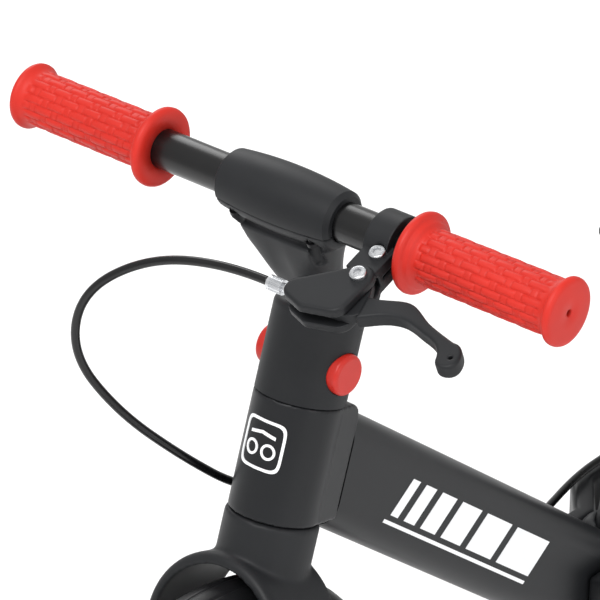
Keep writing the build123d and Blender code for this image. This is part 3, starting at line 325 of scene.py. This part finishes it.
for side, grip_name in ((1, "grip_left"), (-1, "grip_right")):
    mirrored = [(side * x, r) for x, r in grip_loop()]
    turned = (lambda loop, turn: weave(np.abs(loop), turn))
    piece = revolved("woven_" + grip_name, mirrored, BAR, WEAVE_STRANDS * 14, rubber_red, turned)
    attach(piece, "steering")
    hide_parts(grip_name)


# ---- tyres ----
def tread(loop, turn):
    """Two shallow grooves round the crown: -0.7 mm exp(-((|x| - 5 mm) / 0.8 mm) ** 2)."""
    x, r = loop[:, 0][:, None], loop[:, 1][:, None]
    groove = np.exp(-((np.abs(x) - 0.005) / 0.0008) ** 2) + 0.0 * turn[None, :]
    return -0.0007 * smooth_step(r, 0.1405, 0.143) * groove


def tyre_loop():
    """The tyre's section: a circle of 23 mm cut by the rim's bed, with a foot 28 mm wide."""
    middle = TYRE_R - TYRE_HALF_W
    low = math.asin((RIM_BED_R - middle) / TYRE_HALF_W)
    loop = [(TYRE_HALF_W * math.cos(a), middle + TYRE_HALF_W * math.sin(a))
            for a in np.linspace(low, math.pi - low, 181)]
    return loop + [(-0.014, RIM_BED_R), (0.014, RIM_BED_R)]


for end, centre in (("front", FRONT_AXLE), ("rear", REAR_AXLE)):
    piece = revolved(end + "_tread_tyre", tyre_loop(), centre, 240, tyre_rubber, tread)
    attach(piece, "wheel_" + end)
    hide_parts(end + "_tyre")


# ---- printed graphics ----
def on_head(s, t, h):
    """Arc length s round the head from its front, t along the steering axis, h off the skin."""
    r = HEAD_R + h
    return HEAD_TOP + AXIS * t + r * (LEFT * math.sin(s / HEAD_R) - BACK * math.cos(s / HEAD_R))


def polyline(points, count=8):
    line = []
    for a, b in zip(points, points[1:]):
        line += [(a[0] + (b[0] - a[0]) * k / count, a[1] + (b[1] - a[1]) * k / count) for k in range(count)]
    return line + [points[-1]]


def ring_lines(centre, inner, outer, power, count=72):
    """Two closed superellipses: |cos t| and |sin t| to the power 2 / power, signed, times the radius."""
    turns = np.linspace(0, 2 * np.pi, count, endpoint=False)
    shape = [(math.copysign(abs(math.cos(a)) ** (2 / power), math.cos(a)),
              math.copysign(abs(math.sin(a)) ** (2 / power), math.sin(a))) for a in turns]
    return [[(centre[0] + r * s, centre[1] + r * t) for s, t in shape] for r in (inner, outer)]


def badge_strips():
    """A rounded square frame, and in it two wheels under a bar."""
    middle = BADGE_Z
    strips = [(*ring_lines((0.0, middle), 0.0126, 0.0142, 6.0), True)]
    for s in (-0.0056, 0.0056):
        strips.append((*ring_lines((s, middle - 0.0030), 0.0031, 0.0045, 2.0), True))
    low = polyline([(-0.0085, middle + 0.0045), (0.0, middle + 0.0062), (0.0085, middle + 0.0045)])
    strips.append((low, [(s, t + 0.0018) for s, t in low], False))
    return strips


badge = prints("badge_print", badge_strips(), on_head, *BADGE_FILM, print_white)
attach(badge, "frame")
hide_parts("head_badge")

BARS = ((0.058, 0.008), (0.073, 0.012), (0.092, 0.017), (0.116, 0.023), (0.146, 0.030), (0.183, 0.040))
UNDERLINE = (0.0535, 0.2215)


def beam_strips():
    """Slanted bars that widen towards the back, over a thin line."""
    strips = []
    for start, width in BARS:
        left = polyline([(start, -0.011), (start + 0.007, 0.013)], 4)
        right = [(s + width, t) for s, t in left]
        strips.append((left, right, False))
    low = polyline([(UNDERLINE[0], -0.0165), (UNDERLINE[1], -0.0165)], 4)
    strips.append((low, [(s + 0.0006, t + 0.0022) for s, t in low], False))
    return strips


for side, print_name in ((1, "beam_print_left"), (-1, "beam_print_right")):
    def on_beam(s, t, h, side=side):
        return BEAM_START + BEAM_DIR * s + BEAM_UP * t + LEFT * side * (BEAM_HALF_W + h)
    piece = prints(print_name, beam_strips(), on_beam, *BEAM_FILM, print_white)
    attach(piece, "frame")


# ---- brake cable ----
CABLE_ROUTE = [
    (0.0305, -0.25613, 0.49763), (0.0, -0.25613, 0.49763), (-0.045, -0.268, 0.490), (-0.078, -0.285, 0.465),
    (-0.086, -0.286, 0.424), (-0.070, -0.267, 0.385), (-0.047, -0.240, 0.353), (-0.032, -0.208, 0.324),
    (-0.0242, -0.152, 0.300), (-0.0236, -0.085, 0.248), (-0.0242, -0.020, 0.194), (-0.027, 0.026, 0.174),
    (-0.039, 0.076, 0.1706), (-0.050, 0.126, 0.1714), (-0.0515, 0.164, 0.1706), (-0.0515, 0.196, 0.1706)]


def spline_points(route):
    """The points of a quadratic NURBS through the route's runs, as Blender evaluates them."""
    data = bpy.data.curves.new("route", "CURVE")
    data.dimensions = "3D"
    spline = data.splines.new("NURBS")
    spline.points.add(len(route) - 1)
    for point, place in zip(spline.points, route):
        point.co = (*place, 1.0)
    spline.order_u = 3
    spline.use_endpoint_u = True
    spline.resolution_u = 24
    holder = bpy.data.objects.new("route", data)
    bpy.context.scene.collection.objects.link(holder)
    mesh = holder.to_mesh()
    line = np.array([v.co[:] for v in mesh.vertices])
    holder.to_mesh_clear()
    bpy.data.objects.remove(holder)
    bpy.data.curves.remove(data)
    return line


def tube(name, line, radius, around, mat):
    """A closed tube along a line, its rings carried from one point to the next without twist."""
    line = np.asarray(line)
    way = np.gradient(line, axis=0)
    way /= np.linalg.norm(way, axis=1)[:, None]
    side = np.cross(way[0], [0.3, 0.2, 1.0])
    turn = 2 * np.pi * np.arange(around) / around
    rings = []
    for centre, ahead in zip(line, way):
        side = side - ahead * np.dot(side, ahead)
        side /= np.linalg.norm(side)
        other = np.cross(ahead, side)
        rings.append(centre + radius * (np.outer(np.cos(turn), side) + np.outer(np.sin(turn), other)))
    points = np.concatenate(rings)
    last = (len(line) - 1) * around
    faces = grid_faces(len(line), around)
    faces += [tuple(reversed(range(around))), tuple(last + k for k in range(around))]
    obj = make(name, points, faces, mat)
    outward(obj)
    return obj


cable = tube("brake_cable_jacket", spline_points(CABLE_ROUTE), CABLE_R, 24, cable_black)
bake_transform(cable)
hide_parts("brake_cable")

# ---- bare inner wire, a straight run ----
WIRE_R = 0.0008
WIRE_START = np.array([-0.0515, 0.2015, 0.1706])
WIRE_END = np.array([-0.0461, 0.2758, 0.2080])
wire_line = [WIRE_START + (WIRE_END - WIRE_START) * t for t in np.linspace(0.0, 1.0, 41)]
wire = tube("brake_wire_strand", wire_line, WIRE_R, 12, zinc_steel)
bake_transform(wire)
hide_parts("brake_wire")

# ---- moulded and cast pieces: CAD shapes with their joins and edges run together ----
BODY_OF = {node: body for body, nodes in frame["record"]["behaviour"]["bodies"].items() for node in nodes}


def applied(obj):
    """Bakes an object's modifiers into its mesh."""
    graph = bpy.context.evaluated_depsgraph_get()
    baked = bpy.data.meshes.new_from_object(obj.evaluated_get(graph))
    obj.modifiers.clear()
    obj.data = baked
    return obj


def merged_copy(node, name):
    """A copy of a CAD node with its loose triangles joined."""
    obj = NODES[node].copy()
    obj.data = NODES[node].data.copy()
    obj.name = name
    obj.parent = None
    bpy.context.scene.collection.objects.link(obj)
    bm = bmesh.new()
    bm.from_mesh(obj.data)
    bmesh.ops.remove_doubles(bm, verts=bm.verts, dist=1e-6)
    bm.to_mesh(obj.data)
    bm.free()
    return obj


def moulded(node, voxel_mm, rounds):
    """Stands for a CAD node: its shape in even small faces, relaxed so that edges and joins round off."""
    obj = merged_copy(node, "moulded_" + node)
    remesh = obj.modifiers.new("even", "REMESH")
    remesh.mode = "VOXEL"
    remesh.voxel_size = voxel_mm / 1000
    remesh.use_smooth_shade = True
    relax = obj.modifiers.new("relax", "SMOOTH")
    relax.factor = 0.5
    relax.iterations = rounds
    applied(obj)
    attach(obj, BODY_OF[node])
    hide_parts(node)
    return obj


moulded("fork_crown", 1.1, 14)
moulded("stem_neck", 0.8, 8)
moulded("frame_knee", 1.1, 8)
moulded("head_casting", 1.0, 8)
moulded("lever_bracket", 0.45, 4)
moulded("brake_lever", 0.5, 6)
moulded("saddle_bracket", 1.0, 6)
moulded("rear_stay_left", 1.2, 6)
moulded("rear_stay_right", 1.2, 6)
moulded("front_wheel", 1.7, 4)
moulded("rear_wheel", 1.7, 4)

# ---- saddle pad: an inflated cover ----
PAD_CAP = 0.006
PAD_CELL = 0.005
PAD_PRESSURE = 4.0
PAD_SHRINK = np.array([0.95, 0.97, 0.86])
SIM_FRAMES = 20
WELT_RISE = 0.009
WELT_R = 0.0011


def inflated(obj, cell, pressure, cap):
    """Blows a closed pad up as cloth for 20 frames; no point moves further than cap."""
    remesh = obj.modifiers.new("even", "REMESH")
    remesh.mode = "VOXEL"
    remesh.voxel_size = cell
    applied(obj)
    start = np.array([v.co[:] for v in obj.data.vertices])
    cloth = obj.modifiers.new("cloth", "CLOTH")
    cloth.settings.use_pressure = True
    cloth.settings.uniform_pressure_force = pressure
    cloth.settings.effector_weights.gravity = 0.0
    cloth.settings.quality = 5
    for step in range(1, SIM_FRAMES + 1):
        bpy.context.scene.frame_set(step)
    applied(obj)
    bpy.context.scene.frame_set(1)
    moved = np.array([v.co[:] for v in obj.data.vertices]) - start
    length = np.linalg.norm(moved, axis=1)[:, None]
    moved *= np.minimum(1.0, cap / np.maximum(length, 1e-9))
    return start, moved


pad = merged_copy("saddle_pad", "saddle_cushion")
low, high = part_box("saddle_pad")
middle = (np.array(low) + np.array(high)) / 2
points = np.array([v.co[:] for v in pad.data.vertices])
points = middle + (points - middle) * PAD_SHRINK
points[:, 2] += low[2] - points[:, 2].min()
pad.data.vertices.foreach_set("co", points.ravel())
start, moved = inflated(pad, PAD_CELL, PAD_PRESSURE, PAD_CAP)
final = start + moved
final[:, 2] = np.maximum(final[:, 2], low[2])
final = np.clip(final, np.array(low), np.array(high))
pad.data.vertices.foreach_set("co", final.ravel())
finer = pad.modifiers.new("finer", "SUBSURF")
finer.levels = 1
finer.render_levels = 1
applied(pad)
pad.data.polygons.foreach_set("use_smooth", [True] * len(pad.data.polygons))
paint(pad, saddle_cover)
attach(pad, "saddle")
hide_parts("saddle_pad")


def girth(obj, height, count):
    """The outline of a shape at one height: its furthest point in each of count directions."""
    points = np.array([v.co[:] for v in obj.data.vertices])
    points = points[np.abs(points[:, 2] - height) < 0.003]
    centre = middle[:2]
    angle = np.arctan2(points[:, 0] - centre[0], points[:, 1] - centre[1])
    reach = np.hypot(points[:, 0] - centre[0], points[:, 1] - centre[1])
    want = np.linspace(-np.pi, np.pi, count, endpoint=False)
    far = []
    for a in want:
        gap = np.abs(np.angle(np.exp(1j * (angle - a))))
        far.append(reach[gap < 0.12].max())
    for _ in range(3):
        far = [(far[k - 1] + 2 * far[k] + far[(k + 1) % count]) / 4 for k in range(count)]
    return [(centre[0] + r * math.sin(a), centre[1] + r * math.cos(a), height) for a, r in zip(want, far)]


def loop_tube(name, line, radius, around, mat):
    """A tube along a closed level line: rings lie in the planes of the line's turning normals."""
    line = np.array(line)
    way = np.roll(line, -1, axis=0) - np.roll(line, 1, axis=0)
    way /= np.linalg.norm(way, axis=1)[:, None]
    side = np.cross(way, [0.0, 0.0, 1.0])
    turn = 2 * np.pi * np.arange(around) / around
    rings = line[:, None, :] + radius * (np.cos(turn)[None, :, None] * side[:, None, :]
                                         + np.sin(turn)[None, :, None] * np.array([0.0, 0.0, 1.0]))
    obj = make(name, rings.reshape(-1, 3), grid_faces(len(line), around, wrap_rows=True), mat)
    outward(obj)
    return obj


welt = loop_tube("saddle_welt", girth(pad, low[2] + WELT_RISE, 160), WELT_R, 10, saddle_cover)
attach(welt, "saddle")


# ---- floor, light and camera ----
def plane(name, size, z):
    corners = [(-size, -size, z), (size, -size, z), (size, size, z), (-size, size, z)]
    floor = make(name, corners, [(0, 1, 2, 3)],
                 surface(name + "_card", "#ffffff", "#fdfdfd", 0.8, 5.0, 0.001), smooth=False)
    return floor


plane("floor", 6.0, -0.0005)

world = bpy.data.worlds.new("studio")
world.use_nodes = True
world.node_tree.nodes["Background"].inputs["Color"].default_value = (1.0, 1.0, 1.0, 1.0)
world.node_tree.nodes["Background"].inputs["Strength"].default_value = 0.7
bpy.context.scene.world = world


def soft_box(name, place, target, size, power):
    lamp = bpy.data.lights.new(name, "AREA")
    lamp.shape = "RECTANGLE"
    lamp.size = size[0]
    lamp.size_y = size[1]
    lamp.energy = power
    obj = bpy.data.objects.new(name, lamp)
    obj.location = place
    obj.rotation_euler = (Vector(target) - Vector(place)).to_track_quat("-Z", "Y").to_euler()
    bpy.context.scene.collection.objects.link(obj)


soft_box("key", (0.2, -1.6, 2.4), (0.0, -0.15, 0.35), (1.1, 1.1), 44.0)
soft_box("fill", (2.2, -0.5, 1.3), (0.0, -0.1, 0.35), (1.2, 1.4), 16.0)
soft_box("rim", (-1.6, 1.0, 1.8), (0.0, -0.1, 0.4), (1.0, 1.4), 16.0)

RIGHT = Vector((0.75635, 0.65415, 0.00229))
UP = Vector((-0.32017, 0.36713, 0.87333))
camera_data = bpy.data.cameras.new("camera")
camera_data.lens = 259.8
camera_data.sensor_width = 36.0
camera_data.clip_start = 0.05
camera = bpy.data.objects.new("camera", camera_data)
turn = Matrix((RIGHT, UP, RIGHT.cross(UP))).transposed()
camera.matrix_world = Matrix.Translation((1.3274, -1.7359, 1.5845)) @ turn.to_4x4()
bpy.context.scene.collection.objects.link(camera)
bpy.context.scene.camera = camera
bpy.context.scene.view_settings.view_transform = "Standard"
